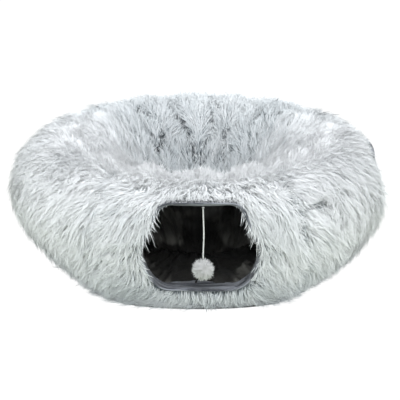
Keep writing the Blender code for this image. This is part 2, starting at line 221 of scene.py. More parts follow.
# Dark tufts that show between the locks: darkness, radius in metres, and a pixel of the photograph
DARK_TUFTS = (
    (0.5, 0.007, 353, 168), (0.3, 0.008, 321, 157), (0.5, 0.005, 330, 219), (0.35, 0.007, 325, 237),
    (0.3, 0.007, 349, 211), (0.3, 0.008, 277, 172), (0.3, 0.006, 311, 186), (0.35, 0.006, 113, 120),
    (0.3, 0.006, 97, 148), (0.35, 0.008, 120, 205), (0.35, 0.007, 242, 175), (0.3, 0.006, 158, 172),
)

# Entrances and the nylon band around each
ENTRANCES = {"front": Vector((0, -1, 0)), "right": Vector((1, 0, 0))}
BAND_POINTS = 144
BAND_ROWS = 24
BAND_TRIES = 24
ROW_CROWDING = 1.6
HEM_ROW = 0.94
HEM_WIDTH = 0.05
LIP_ROW = 0.92
BAND_THICKNESS = 0.0022
BAND_CLEARANCE = 0.0002
HEM_DEPTH = 0.0015
LIP_HEIGHT = 0.009
LIP_REACH = 0.009

# Hanging toy, as its CAD route has it
TOY_HANG = Vector((0.007, -0.337936))
ELASTIC_TOP = 0.2036
ELASTIC_LENGTH = 0.096
ELASTIC_DIAMETER = 0.0025
ELASTIC_BOW = 0.0012
ELASTIC_STEPS = 24
KNOT_STEPS = 48
POMPOM_LOCKS = 4200
POMPOM_LOCK_HALF_WIDTH = 0.0013

# How far the pile of the mat reaches over the foot of the well
MAT_OVERHANG = 0.007


# Camera


def camera_axes():
    """The camera's place and its forward, right and up directions."""
    back = Vector((0, -math.cos(CAMERA_ELEVATION), math.sin(CAMERA_ELEVATION)))
    forward = -back
    right = Vector((1, 0, 0))
    return AIM + back * CAMERA_DISTANCE, forward, right, right.cross(forward)


def place_object(name, data):
    made = bpy.data.objects.new(name, data)
    bpy.context.scene.collection.objects.link(made)
    return made


def place_camera():
    data = bpy.data.cameras.new("camera")
    data.sensor_width = SENSOR_WIDTH
    data.lens = FOCAL_PIXELS / FRAME_PIXELS * SENSOR_WIDTH
    data.shift_x = (FRAME_PIXELS / 2 - AIM_PIXEL[0]) / FRAME_PIXELS
    data.shift_y = (AIM_PIXEL[1] - FRAME_PIXELS / 2) / FRAME_PIXELS
    data.clip_end = 50
    camera = place_object("camera", data)
    camera.location, forward, _, _ = camera_axes()
    camera.rotation_euler = forward.to_track_quat("-Z", "Y").to_euler()
    bpy.context.scene.camera = camera


# Materials


class Value:
    """A socket of a node tree, on which sums add Math nodes."""

    def __init__(self, nodes, socket):
        self.nodes, self.socket = nodes, socket

    def math(self, operation, *others):
        inputs = dict(enumerate((self, *others)))
        return self.nodes.node("ShaderNodeMath", {"operation": operation}, inputs)

    def __rsub__(self, other):
        return self.math("MULTIPLY_ADD", -1, other)

    __add__ = __radd__ = partialmethod(math, "ADD")
    __sub__ = partialmethod(math, "SUBTRACT")
    __mul__ = __rmul__ = partialmethod(math, "MULTIPLY")
    __truediv__ = partialmethod(math, "DIVIDE")
    __pow__ = partialmethod(math, "POWER")


class Nodes:
    """A node tree, to which one method adds all nodes."""

    def __init__(self, tree):
        self.tree = tree

    def node(self, kind, settings=None, inputs=None, output=0):
        """Add a node: its settings first, then the values or links of its sockets."""
        made = self.tree.nodes.new(kind)
        for name, value in (settings or {}).items():
            setattr(made, name, value)
        for name, value in (inputs or {}).items():
            if isinstance(value, Value):
                self.tree.links.new(value.socket, made.inputs[name])
            else:
                made.inputs[name].default_value = value
        return Value(self, made.outputs[output])

    def split(self, vector):
        """The three parts of a vector or a colour."""
        first = self.node("ShaderNodeSeparateXYZ", None, {0: vector})
        return [Value(self, socket) for socket in first.socket.node.outputs]

    def shown_rays(self):
        """1 on rays from the camera, off gloss and through glass, and 0 on all others."""
        path = self.node("ShaderNodeLightPath").socket.node
        camera, glossy, through = (
            Value(self, path.outputs[f"Is {kind} Ray"]) for kind in ("Camera", "Glossy", "Transmission"))
        return camera + glossy + through


class Finish(Nodes):
    """A material whose shader is fed by nodes."""

    def __init__(self, name, roughness, sheen=0.0):
        self.material = bpy.data.materials.new(name)
        self.material.use_nodes = True
        super().__init__(self.material.node_tree)
        self.shader = self.tree.nodes["Principled BSDF"]
        self.shader.inputs["Roughness"].default_value = roughness
        self.shader.inputs["Sheen Weight"].default_value = sheen

    def feed(self, socket, value):
        """Link a value to one of the shader's sockets."""
        self.tree.links.new(value.socket, self.shader.inputs[socket])

    def paint(self, share, low, high):
        """Colour the surface between two colours."""
        self.feed("Base Color", self.mix(share, low, high))

    @cached_property
    def place(self):
        """Object coordinates."""
        return self.node("ShaderNodeTexCoord", output="Object")

    def lock_map(self):
        """The tone of each lock of fur and the way along it, from 0 to 1."""
        return self.split(self.node("ShaderNodeUVMap", {"uv_map": "OFBake"}))[:2]

    def noise(self, scale, detail=3.0, roughness=0.5, place=None):
        inputs = {"Vector": place or self.place, "Scale": scale, "Detail": detail, "Roughness": roughness}
        return self.node("ShaderNodeTexNoise", None, inputs)

    def stretched(self, *shares):
        """Coordinates drawn out or squeezed along each axis."""
        return self.node("ShaderNodeVectorMath", {"operation": "MULTIPLY"}, {0: self.place, 1: shares})

    def weave(self, pitch):
        """A plain weave of threads crossing at a pitch, from 0 to 1, on faces turned any way."""
        x, y, z = ((part * (math.tau / pitch)).math("SINE") for part in self.split(self.place))
        return (x * y + y * z + z * x) / 6 + 0.5

    def mix(self, share, low, high):
        """A colour between two colours, which may be values."""
        low, high = (c if isinstance(c, Value) else (*c, 1) for c in (low, high))
        return self.node("ShaderNodeMix", {"data_type": "RGBA"}, {"Factor": share, 6: low, 7: high}, 2)

    def bump(self, height, distance, strength=1.0, normal=None):
        inputs = {"Height": height, "Distance": distance, "Strength": strength}
        if normal is not None:
            inputs["Normal"] = normal
        return self.node("ShaderNodeBump", None, inputs)


def ramp(value, low, high):
    """A smooth step of a value from low to high."""
    inputs = {"Value": value, "From Min": low, "From Max": high}
    return value.nodes.node("ShaderNodeMapRange", {"interpolation_type": "SMOOTHSTEP"}, inputs)


def plush_finish():
    """Frosted plush: near-black roots, a blue-grey band and white tips, further down on pale locks."""
    finish = Finish("white_plush", 0.75, 0.15)
    tone, along = finish.lock_map()
    tone *= TONE_RANGE
    start = 0.95 - tone * 1.12
    tip = ramp(along, start, start + 0.28)
    band = ramp(along, start - 0.22, start + 0.02)
    colour = finish.mix(band, (0.022, 0.028, 0.036), (0.20, 0.235, 0.26))
    # Low tones, which carry the painted shade of the fur's zones, valleys and creases, give greyer locks
    # with longer dark roots
    pale = finish.mix(ramp(tone, 0.5, 1.25), (0.56, 0.60, 0.615), (0.95, 0.96, 0.965))
    finish.paint(tip, colour, pale)
    return finish


def backing_finish():
    """The knitted ground of the plush, seen only deep in a crease."""
    finish = Finish("plush_ground", 0.9)
    finish.paint(finish.noise(60), (0.34, 0.36, 0.38), (0.56, 0.58, 0.59))
    finish.feed("Normal", finish.bump(finish.weave(0.0018), 0.0004))
    return finish


def wadding_finish():
    """Loose white polyester fibre."""
    finish = Finish("polyester_wadding", 0.95, 0.1)
    finish.paint(finish.noise(25), (0.72, 0.73, 0.72), (0.88, 0.88, 0.87))
    finish.feed("Normal", finish.bump(finish.noise(260, 6, 0.7), 0.0015))
    return finish


def lining_finish(name, grain):
    """Thin black taffeta with a faint sheen and painted highlights on its folds, which run along its
    grain; lower down its black and its highlights are painted lighter, as painted light.
    """
    finish = Finish(name, 0.5, 0.03)
    folds = finish.noise(15, 1.5, 0.45, finish.stretched(1, 1, 0.45))
    creases = finish.noise(38, 5, 0.6, finish.stretched(1, 1, 0.35))
    facets = finish.node("ShaderNodeTexVoronoi", {"feature": "SMOOTH_F1"}, {
        "Vector": finish.stretched(*grain), "Scale": 17, "Smoothness": 0.25}, "Color")
    # lit marks where the folds' facets get a painted highlight, a painted sheen on the black
    lit = ramp(finish.split(facets)[0], 0.35, 0.9) * ramp(finish.noise(9), 0.2, 0.5)
    lit *= ramp(creases, 0.25, 0.5)
    height = finish.split(finish.place)[2]
    # cloth is the colour of the painted highlights and shade the black between them; both are painted
    # lighter near the foot, as painted light
    cloth = finish.mix(ramp(height, 0.04, 0.1), (0.22, 0.215, 0.195), (0.04, 0.039, 0.036))
    shade = finish.mix(ramp(height, 0.04, 0.09), (0.03, 0.029, 0.026), (0.005, 0.005, 0.0045))
    finish.paint(lit, shade, cloth)
    finish.feed("Roughness", creases * 0.3 + 0.38)
    rumple = finish.bump(creases, 0.006, 0.8, finish.bump(folds, 0.05))
    finish.feed("Normal", finish.bump(finish.weave(0.0011), 0.0002, 0.5, rumple))
    return finish


def nylon_finish():
    """Grey-blue nylon, closely woven and slightly shiny, with painted shade and highlights in streaks
    along its rim.
    """
    finish = Finish("grey_nylon", 0.42, 0.2)
    x, y, z = finish.split(finish.place)
    across = (x * x + y * y) ** 0.5
    rim = finish.node("ShaderNodeCombineXYZ", None, {0: across, 1: (x + y) * 0.12, 2: z * 0.12})
    # shade: streaks along the rim that are painted shade and painted highlights on the wrinkles; they also
    # set the roughness
    creases, shade = finish.noise(150, 3, 0.6, rim), finish.noise(120, 4, 0.65, rim)
    finish.paint(ramp(shade, 0.4, 0.58), (0.05, 0.056, 0.07), (0.27, 0.285, 0.32))
    finish.feed("Roughness", shade * 0.25 + 0.32)
    rumple = finish.bump(creases, 0.006)
    finish.feed("Normal", finish.bump(finish.weave(0.0009), 0.0002, 0.5, rumple))
    return finish


def base_finish():
    """Dark coated base cloth with a coarse weave."""
    finish = Finish("coated_base_cloth", 0.7)
    worn = finish.noise(14, 5, 0.6)
    finish.paint(worn, (0.018, 0.019, 0.021), (0.055, 0.056, 0.06))
    finish.feed("Roughness", worn * 0.3 + 0.55)
    finish.feed("Normal", finish.bump(finish.weave(0.0024), 0.0005))
    return finish


def yarn_finish(name, dark, pale, scale):
    """Twisted white yarn."""
    finish = Finish(name, 0.85, 0.2)
    twist = finish.noise(scale, 3, 0.6, finish.stretched(1, 1, 0.4))
    finish.paint(ramp(twist, 0.3, 0.7), dark, pale)
    finish.feed("Normal", finish.bump(twist, 0.0004))
    return finish


def pompom_finish():
    """Brushed white yarn, with painted shade towards its root and in the hollows between its lumps."""
    finish = Finish("pompom_yarn", 0.85, 0.25)
    tone, along = finish.lock_map()
    # Low tones paint shade in the hollows between the lumps, and the darker root colour paints shade deep
    # in the ball
    pale = finish.mix(tone, (0.85, 0.85, 0.84), (1.0, 1.0, 0.99))
    finish.paint(ramp(along, 0.1, 0.6), (0.78, 0.78, 0.77), pale)
    return finish


# Meshes


def node_copy(*names):
    """One bmesh that holds welded copies of CAD nodes, whose own meshes stay as they are."""
    mesh = bmesh.new()
    for name in names:
        mesh.from_mesh(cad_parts[name].data)
    bmesh.ops.remove_doubles(mesh, verts=mesh.verts[:], dist=SEAM_GAP / 20)
    return mesh


def tree_of(*names):
    mesh = node_copy(*names)
    tree = BVHTree.FromBMesh(mesh)
    mesh.free()
    return tree


def corners_of(mesh):
    return np.array([vertex.co for vertex in mesh.verts])


def numbers_of(mesh):
    """For each face of a bmesh, the numbers of its corners."""
    mesh.verts.index_update()
    return [[vertex.index for vertex in face.verts] for face in mesh.faces]


def surface_of(mesh):
    """The corners of a bmesh that is cut into triangles, their normals and each triangle's corners."""
    bmesh.ops.triangulate(mesh, faces=mesh.faces[:])
    mesh.normal_update()
    normals = np.array([vertex.normal for vertex in mesh.verts])
    return corners_of(mesh), normals, np.array(numbers_of(mesh))


def face_out(mesh):
    bmesh.ops.recalc_face_normals(mesh, faces=mesh.faces[:])


def thicken(mesh, thickness):
    """Give a sheet a thickness, to the back of its faces."""
    bmesh.ops.solidify(mesh, geom=mesh.faces[:], thickness=thickness)
    face_out(mesh)


def nearest(corners, points):
    """The number of the corner that is nearest to each point."""
    tree = KDTree(len(corners))
    for k, corner in enumerate(corners):
        tree.insert(corner, k)
    tree.balance()
    return np.array([tree.find(point)[1] for point in points])


def swell(points, length, seed):
    """A smooth random field over points, mostly from -1 to 1, with bumps about as long as length."""
    rng = np.random.default_rng(seed)
    total = np.zeros(len(points))
    for _ in range(6):
        direction = rng.normal(size=3)
        direction *= math.tau * rng.uniform(0.6, 1.5) / length / np.linalg.norm(direction)
        total += np.sin(points @ direction + rng.uniform(0, math.tau))
    return total / 2.5


def unit(vectors):
    return vectors / np.maximum(np.linalg.norm(vectors, axis=-1, keepdims=True), 1e-9)


def dot(first, second):
    return (first * second).sum(axis=-1)


def flattened(vectors, normals):
    """Vectors without their part along the normals."""
    return vectors - normals * dot(vectors, normals)[:, None]


def turned(directions, normals, angles):
    """Directions turned about the normals."""
    return directions * np.cos(angles)[:, None] + np.cross(normals, directions) * np.sin(angles)[:, None]


def radius_of(points):
    return np.hypot(points[:, 0], points[:, 1])


def bell(distances, width):
    """1 at no distance, and next to nothing at twice the width."""
    return np.exp(-(distances / width) ** 2)


def between(ends, shares):
    """Values from the first end at a share of 0 to the second at 1."""
    return ends[0] + (ends[1] - ends[0]) * shares


def fade(values, start, whole):
    """0 where a value is at the start, 1 where it is whole, which may lie below the start."""
    share = np.clip((values - start) / (whole - start), 0, 1)
    return share * share * (3 - 2 * share)


def finished(name, mesh):
    """A bmesh as mesh data."""
    data = bpy.data.meshes.new(name)
    mesh.to_mesh(data)
    mesh.free()
    return data


def add_piece(name, mesh, finish, slot, *nodes, body="tunnel"):
    """A mesh as a piece that stands for CAD nodes and rides on a body, if it is given one."""
    if isinstance(mesh, bmesh.types.BMesh):
        mesh = finished(name, mesh)
        mesh.shade_smooth()
    mesh.materials.append(finish.material)
    made = place_object(name, mesh)
    if body:
        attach(made, body)
    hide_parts(*nodes)
    return made


# Hanging toy


def tube(route, diameter, sides):
    """A closed-ended tube along a route that starts about downwards."""
    mesh = bmesh.new()
    points = [Vector(p) for p in route]
    ring = bmesh.ops.create_circle(mesh, cap_ends=True, segments=sides, radius=diameter / 2)["verts"]
    turn = Vector((0, 0, -1)).rotation_difference((points[1] - points[0]).normalized())
    bmesh.ops.rotate(mesh, verts=ring, cent=(0, 0, 0), matrix=turn.to_matrix())
    bmesh.ops.translate(mesh, verts=ring, vec=points[0])
    for start, end in zip(points, points[1:]):
        cap = next(face for face in mesh.faces if set(face.verts) == set(ring))
        moved = bmesh.ops.extrude_face_region(mesh, geom=[cap])["geom"]
        bmesh.ops.delete(mesh, geom=[cap], context="FACES_ONLY")
        ring = [item for item in moved if isinstance(item, bmesh.types.BMVert)]
        bmesh.ops.translate(mesh, verts=ring, vec=end - start)
    face_out(mesh)
    return mesh


def make_elastic():
    route = []
    for share in np.linspace(0, 1, ELASTIC_STEPS + 1).tolist():
        bow = ELASTIC_BOW * math.sin(math.pi * share) ** 2
        route.append((TOY_HANG.x + bow, TOY_HANG.y, ELASTIC_TOP - ELASTIC_LENGTH * share))
    finish = yarn_finish("white_elastic", (0.62, 0.62, 0.60), (0.90, 0.90, 0.88), 900)
    mesh = tube(route, ELASTIC_DIAMETER, 12)
    elastic = add_piece("elastic", mesh, finish, "white_yarn", "toy_elastic", body=None)
    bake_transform(elastic)


def make_knot():
    """A small overhand knot: a closed three-lobed loop of the same yarn."""
    low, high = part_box("toy_knot")
    centre, size = (low + high) / 2, (high - low).x
    wide = size * 0.1
    curve = bpy.data.curves.new("knot_loop", "CURVE")
    curve.dimensions = "3D"
    curve.bevel_depth = size * 0.2
    curve.bevel_resolution = 2
    line = curve.splines.new("POLY")
    line.points.add(KNOT_STEPS - 1)
    for k, point in enumerate(line.points):
        turn = math.tau * k / KNOT_STEPS
        x = wide * (math.sin(turn) + 2 * math.sin(2 * turn))
        y = wide * (math.cos(turn) - 2 * math.cos(2 * turn))
        point.co = (centre.x + x, centre.y + y, centre.z - wide * 1.6 * math.sin(3 * turn), 1)
    line.use_cyclic_u = True
    loop = bpy.data.objects.new("knot_loop", curve)
    mesh = bpy.data.meshes.new_from_object(loop)
    bpy.data.objects.remove(loop)
    bpy.data.curves.remove(curve)
    finish = yarn_finish("knot_yarn", (0.6, 0.6, 0.58), (0.88, 0.88, 0.86), 1200)
    add_piece("knot", mesh, finish, "white_yarn", "toy_knot", body="toy_hanger")


# Locks of fur


def unit_lock():
    """A closed three-sided lock from z = 0 to z = 1: its corners and, for each face, their numbers."""
    mesh = bmesh.new()
    bmesh.ops.create_circle(mesh, cap_ends=True, segments=3, radius=1)
    rim = mesh.edges[:]
    for _ in LOCK_TAPER[1:]:
        grown = bmesh.ops.extrude_edge_only(mesh, edges=rim)["geom"]
        top = [item for item in grown if isinstance(item, bmesh.types.BMVert)]
        rim = [item for item in grown if isinstance(item, bmesh.types.BMEdge)]
        bmesh.ops.translate(mesh, verts=top, vec=(0, 0, 1 / (len(LOCK_TAPER) - 1)))
    bmesh.ops.pointmerge(mesh, verts=top, merge_co=(0, 0, 1))
    face_out(mesh)
    corners, faces = corners_of(mesh), numbers_of(mesh)
    mesh.free()
    return corners, faces


def fill(items, name, numbers, kind):
    """Set a value of all items of mesh data."""
    items.foreach_set(name, numbers.astype(kind).ravel())


def lock_mesh(name, lines, sides, half_widths, tones, facing, lively):
    """A mesh of one bent lock for each centre line, with tone and way along in its UV map.

    The locks are shaded mostly as the surface that they cover, and less so where the pile is lively.
    """
    corners, faces = LOCK
    count, size = len(lines), len(corners)
    ring = np.rint(corners[:, 2] * (len(LOCK_TAPER) - 1)).astype(int)
    reach = half_widths[:, None] * np.array(LOCK_TAPER)[ring]
    across = unit(sides)[:, None, :]
    above = unit(np.cross(np.gradient(lines, axis=1), across))[:, ring]
    place = lines[:, ring] + across * (reach * corners[:, 0])[..., None]
    place += above * (reach * corners[:, 1] * LOCK_FLATNESS)[..., None]
    place[..., 2] = np.maximum(place[..., 2], GROUND_CLEARANCE)
    own = across * corners[:, 0, None] + above * corners[:, 1, None]
    soft = unit(facing + [0, 0, UPWARD_SHARE])[:, None, :]
    alike = np.clip(dot(soft, own)[..., None], -1, 1)
    least, usual = (between(ends, lively)[:, None, None] for ends in (LEAST_OWN_SHARES, OWN_NORMAL_SHARES))
    normals = unit(soft + own * np.maximum(least * np.sqrt(1 - alike ** 2) - alike, usual))
    each, loops = np.arange(count)[:, None], np.concatenate(faces)
    starts = np.cumsum([0] + [len(face) for face in faces[:-1]])
    data = bpy.data.meshes.new(name)
    data.vertices.add(count * size)
    fill(data.vertices, "co", place, np.float32)
    data.loops.add(count * len(loops))
    fill(data.loops, "vertex_index", each * size + loops, np.int32)
    data.polygons.add(count * len(faces))
    fill(data.polygons, "loop_start", each * len(loops) + starts, np.int32)
    data.update(calc_edges=True)
    uv = data.uv_layers.new(name="OFBake")
    u = np.clip(tones / TONE_RANGE, 0.015, 0.985)[:, None] + 0.01 * corners[loops, 0]
    v = np.broadcast_to(0.02 + 0.95 * corners[loops, 2] + 0.01 * corners[loops, 1], u.shape)
    fill(uv.data, "uv", np.stack((u, v), axis=2), np.float32)
    data.shade_smooth()
    data.normals_split_custom_set_from_vertices(normals.reshape(-1, 3))
    return data


def outer_skin():
    """The fur's outer surface, welded into one: its corners, normals and triangles, each triangle's
    sector, and a tree of it."""
    wadding = tree_of(*[f"{sector}_wadding" for sector in SECTORS])
    skin = bmesh.new()
    owner = skin.faces.layers.int.new("owner")
    for number, sector in enumerate(SECTORS):
        before = len(skin.faces)
        skin.from_mesh(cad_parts[f"{sector}_fur"].data)
        skin.faces.ensure_lookup_table()
        for face in skin.faces[before:]:
            face[owner] = number
    inner = []
    for face in skin.faces:
        centre = face.calc_center_median()
        beside, _, _, distance = wadding.find_nearest(centre)
        if distance < PILE / 4 or face.normal.dot((centre - beside) / distance) < 0.4:
            inner.append(face)
    bmesh.ops.delete(skin, geom=inner, context="FACES")
    bmesh.ops.remove_doubles(skin, verts=skin.verts[:], dist=SEAM_GAP)
    surface = surface_of(skin)
    owners = np.array([face[owner] for face in skin.faces])
    tree = BVHTree.FromBMesh(skin)
    skin.free()
    return surface, owners, tree


def scatter(surface, seed):
    """Roots of locks, spread evenly over a curved surface: points, normals and their triangles."""
    corners, normals, triangles = surface
    rng = np.random.default_rng(seed)
    a, b, c = (corners[triangles[:, k]] for k in range(3))
    area = np.linalg.norm(np.cross(b - a, c - a), axis=1) / 2
    count = int(area.sum() * LOCKS_PER_SQUARE_METRE * (1))
    places = (np.arange(count) + rng.random(count)) * area.sum() / count
    chosen = np.minimum(np.searchsorted(np.cumsum(area), places), len(area) - 1)
    first, second = rng.random(count), rng.random(count)
    over = first + second > 1
    first[over], second[over] = 1 - first[over], 1 - second[over]
    shares = np.stack((1 - first - second, first, second), axis=1)
    corner, normal = corners[triangles[chosen]], normals[triangles[chosen]]
    flat = (corner * shares[..., None]).sum(axis=1)
    height = dot(flat[:, None] - corner, normal)
    round_off = ((height * shares)[..., None] * normal).sum(axis=1)
    return flat - round_off * 0.75, unit((normal * shares[..., None]).sum(axis=1)), chosen


def side_of_valley(points, valleys):
    """How far points lie to one side of the nearest of some valleys, in metres."""
    angle = np.degrees(np.arctan2(points[:, 1], points[:, 0]))
    turns = (angle[:, None] - valleys + 180) % 360 - 180
    closest = np.abs(turns).argmin(axis=1)
    return np.radians(turns[np.arange(len(points)), closest]) * radius_of(points)


def comb(points, normals, in_well, tree):
    """The direction in which the pile lies, how dark it is, from 0 to 1, and how far it reaches.

    It lies up the well and down the wall, and on the crest between them it stands and leans every way.
    """
    radial = unit(points * [1, 1, 0])
    around = np.cross([0, 0, 1], radial)
    radius = radius_of(points)
    rising = 1 - 2 * fade(radius, *OVERTURN_RADII)
    lie = OUTWARD_SHARE * radial + rising[:, None] * [0, 0, 1]
    front = fade(points[:, 1], *FRONT_FACE) * ~in_well
    lie[:, 0] += PARTING_SHARE * front * np.clip((points[:, 0] - PARTING_X) / PARTING_HALF_WIDTH, -1, 1)

    pleated = fade(radius, *PLEATED_RADII)
    offset = side_of_valley(points, VALLEYS) + 0.004 * swell(points, 0.06, 3)
    lie -= around * (np.sign(offset) * (bell(offset, PLEAT_WIDTH) * pleated) * PLEAT_PULL)[:, None]
    # Painted shade in the pleats' valleys: a narrow dark parting, partly the plush's dark roots, and a
    # broad shade beside it
    dark = sum(strength * bell(offset, width) for strength, width in PLEAT_DARKNESS)
    dark *= fade(radius, *DARK_PLEAT_RADII) * fade(points[:, 1], *HIDDEN_PLEATS)
    plain = (1 - pleated) * ~in_well
    for seams in (PANEL_SEAMS, FRONT_SEAMS):
        offset = side_of_valley(points, seams) + 0.006 * swell(points, 0.09, 5)
        lie += around * (np.sign(offset) * bell(offset, SEAM_WIDTH) * SEAM_STRENGTH * plain)[:, None]
        dark += SEAM_STRENGTH * bell(offset, SEAM_WIDTH / 2) * plain
    across, drawn, edge, sharp = creases(points, normals, tree)
    dark = np.maximum(dark, drawn)

    lie = unit(flattened(lie + across, normals))
    crest = bell(radius - CREST_RADIUS, CREST_WIDTH)
    wide, small, fine = (angle * swell(points, length, seed) for angle, length, seed in SWIRLS)
    lie = turned(lie, normals, wide + small + crest * fine)
    distance = np.linalg.norm(edge, axis=1)
    most = np.maximum(distance - CREASE_GAP, CREASE_REACH) / np.maximum(dot(lie, unit(edge)), 0.2)
    reach = LOCK_REACH * (1 - CREST_UPRIGHT_SHARE * crest)
    return lie, dark, reach + (np.minimum(reach, most) - reach) * np.clip(sharp, 0, 1)


def creases(points, normals, tree):
    """The pull of the creases on the pile beside them, their darkness, the way to the nearest and how
    sharp that one is."""
    pull, dark = np.zeros(points.shape), np.zeros(len(points))
    edge, sharp = np.full(points.shape, 1.0), np.zeros(len(points))
    for strength, width, *pixels in CREASES:
        spots, bends = [], np.reshape(pixels, (-1, 2))
        for start, end in zip(bends, bends[1:]):
            steps = max(int(math.dist(start, end) / CREASE_STEP), 1)
            spots += [start + (end - start) * k / steps for k in range(steps)]
        line = np.array([hit for hit in (seen(x, y, tree) for x, y in spots) if hit])
        gap = flattened(line[nearest(line, points)] - points, normals)
        distance = np.linalg.norm(gap, axis=1)
        strain = strength * bell(distance, width * CREASE_PULL_SHARE) * fade(distance, 0, width)
        pull += unit(gap) * strain[:, None]
        # The crease's darkness: painted shade in it, partly the dark that shows through the parted pile
        dark = np.maximum(dark, strength * bell(distance, width))
        closer = distance < np.linalg.norm(edge, axis=1)
        edge[closer], sharp[closer] = gap[closer], strength * CREASE_SHARPNESS
    return pull, dark, edge, sharp


def seen(x, y, tree):
    """The point of a surface that a pixel of the photograph shows, or one beside it just inside."""
    place, forward, right, up = camera_axes()
    for inwards in range(SEEN_REACH):
        level = (x - AIM_PIXEL[0]) * (1 - inwards / 100)
        ray = forward + right * (level / FOCAL_PIXELS) + up * ((AIM_PIXEL[1] - y) / FOCAL_PIXELS)
        hit = tree.ray_cast(place, ray.normalized())[0]
        if hit:
            return hit


def trim_fringe(points, normals, lie, reach, seed):
    """The locks' reach, normals, rise and lie, once they are trimmed around the entrances.

    Beside an entrance they stand straight out and lean over its facing, with a short fringe. Over and
    under it they end before it, and over it the lip of the facing presses them down.
    """
    rise = np.ones(len(points))
    for name, direction in ENTRANCES.items():
        out = np.array(direction)
        rim = np.array([place for place, _, _ in entrance_rim(name)])
        along = points @ out
        flat = points - along[:, None] * out
        gap = rim[nearest(rim, flat)] - flat
        distance, towards = np.linalg.norm(gap, axis=1), unit(gap)
        beside, steep = along > CREST_RADIUS, towards[:, 2]
        rng = np.random.default_rng(seed)
        lean = bell(distance, FRINGE_LEAN) * beside * (1 - steep ** 2)
        lean *= 1.1 + 0.5 * swell(points, 0.012, seed + 1)
        lie = unit(lie + towards * lean[:, None])
        fringe = FRINGE * (0.8 + 0.9 * swell(points, 0.02, seed) + rng.normal(0, 0.4, len(points)))
        fringe = np.clip(fringe, 0, MOST_FRINGE) * (1 - steep ** 2) - FRINGE_GAP * steep ** 2
        most = np.maximum(distance + fringe, 0.001) / np.maximum(dot(lie, towards), 0.05)
        reach = np.where(beside & (distance < LOCK_REACH), np.minimum(reach, most), reach)
        near = (bell(distance, FRINGE_UPRIGHT_WIDTH) * beside)[:, None]
        normals = unit(normals * (1 - near) + out * near)
        rise *= 1 - LIP_PRESS * (bell(distance, LIP_HEIGHT) * beside * np.clip(-steep * 1.3, 0, 1))
    return np.maximum(reach, LOCK_REACH * 0.06), normals, rise, lie


def tuft_darkness(points, tree):
    """How dark the fur is for the tufts that the photograph shows, from 0 to 1."""
    dark = np.zeros(len(points))
    for strength, radius, x, y in DARK_TUFTS:
        hit = seen(x, y, tree)
        if hit:
            distance = np.linalg.norm(points - np.array(hit), axis=1)
            dark = np.maximum(dark, strength * bell(distance, radius))
    return dark


def root_depths(points, normals):
    """How deep the locks are rooted: in the knitted ground, or less where the padding under it is thin."""
    lining = tree_of(*[f"{sector}_lining" for sector in SECTORS])
    space = []
    for point, normal in zip(points, normals):
        distance = lining.ray_cast(Vector(point), -Vector(normal), 2 * PILE)[3]
        space.append(2 * PILE if distance is None else distance)
    return np.clip(np.array(space) - PILE / 3, PILE / 4, BACKING_DEPTH)


def grow(points, normals, lie, tones, dark, rise, reach, depth, lively, seed):
    """The centre lines of locks that lean along their lie and draw together in clumps, their sides,
    half widths and tones."""
    rng = np.random.default_rng(seed)
    count = len(points)
    chosen = rng.choice(count, max(int(count * CLUMP_SHARE), 1), replace=False)
    spread = points + normals * PILE
    clump = nearest(spread[chosen], spread)
    clumps, leader = len(chosen), chosen[clump]

    def uneven(spreads):
        """A random number for each lock, of which a part is the same all over its clump."""
        return rng.normal(0, spreads[0], clumps)[clump] + rng.normal(0, spreads[1], count)

    spared = (rng.random(clumps) < SPARED_SHARE)[clump]
    reach = np.where(spared & (dark > SPARED_DARKNESS), np.maximum(reach, SPARED_REACH), reach)
    lean = turned(lie, normals, uneven(LEAN_SPREADS))
    flyaway = FLYAWAY_LIFT * (rng.random(clumps) < FLYAWAY_SHARE)[clump] * (1 - dark)
    lift = np.minimum(rise * (1 + flyaway + uneven(LIFT_SPREADS)), MOST_LIFT_SHARE * rise)
    lift -= BACKING_DEPTH - depth
    length = reach * (1 + uneven(LENGTH_SPREADS))
    draw = rng.uniform(*CLUMP_DRAWS, clumps)[clump] * between(DRAW_SHARES, lively)
    roots = points - normals * depth[:, None]
    lines = np.stack([
        roots + normals * (lift * math.sin(math.pi / 2 * share ** 0.85))[:, None]
        + lean * (length * share ** 1.5)[:, None] for share in LOCK_STEPS], axis=1)
    for step, share in enumerate(LOCK_STEPS):
        gap = lines[leader, step] - lines[:, step]
        far = np.linalg.norm(gap, axis=1, keepdims=True)
        pull = (draw * share ** 1.3)[:, None] * np.clip(DRAW_DISTANCE / np.maximum(far, 1e-6), 0, 1)
        lines[:, step] += gap * pull
    drop = roots[:, 2] - lines[:, -1, 2]
    most = roots[:, 2] - GROUND_CLEARANCE - rng.uniform(*FLOOR_GAPS, count)
    splay = np.clip(most / np.maximum(drop, 1e-6), LEAST_SPLAY, 1)[:, None]
    lines[..., 2] = roots[:, None, 2] + (lines[..., 2] - roots[:, None, 2]) * splay
    over, room = np.maximum(lines[..., 2] - SOFT_TOP, 0), UTMOST_TOP - SOFT_TOP
    lines[..., 2] += room * (1 - np.exp(-over / room)) - over
    aside = lines[..., :2] - roots[:, None, :2]
    lines[..., :2] = roots[:, None, :2] + aside * np.maximum(splay, LEAST_SIDE_SPLAY)[..., None]
    tones = tones - DARK_TONE * dark * spared + rng.normal(0, CLUMP_TONE_SPREAD, clumps)[clump]
    tones += rng.normal(0, 1, count) * between(TONE_SPREADS, lively)
    widths = LOCK_HALF_WIDTH * (1 + rng.normal(0, WIDTH_SPREAD, count))
    return lines, np.cross(lean, normals), np.maximum(widths, LOCK_HALF_WIDTH / 2), tones


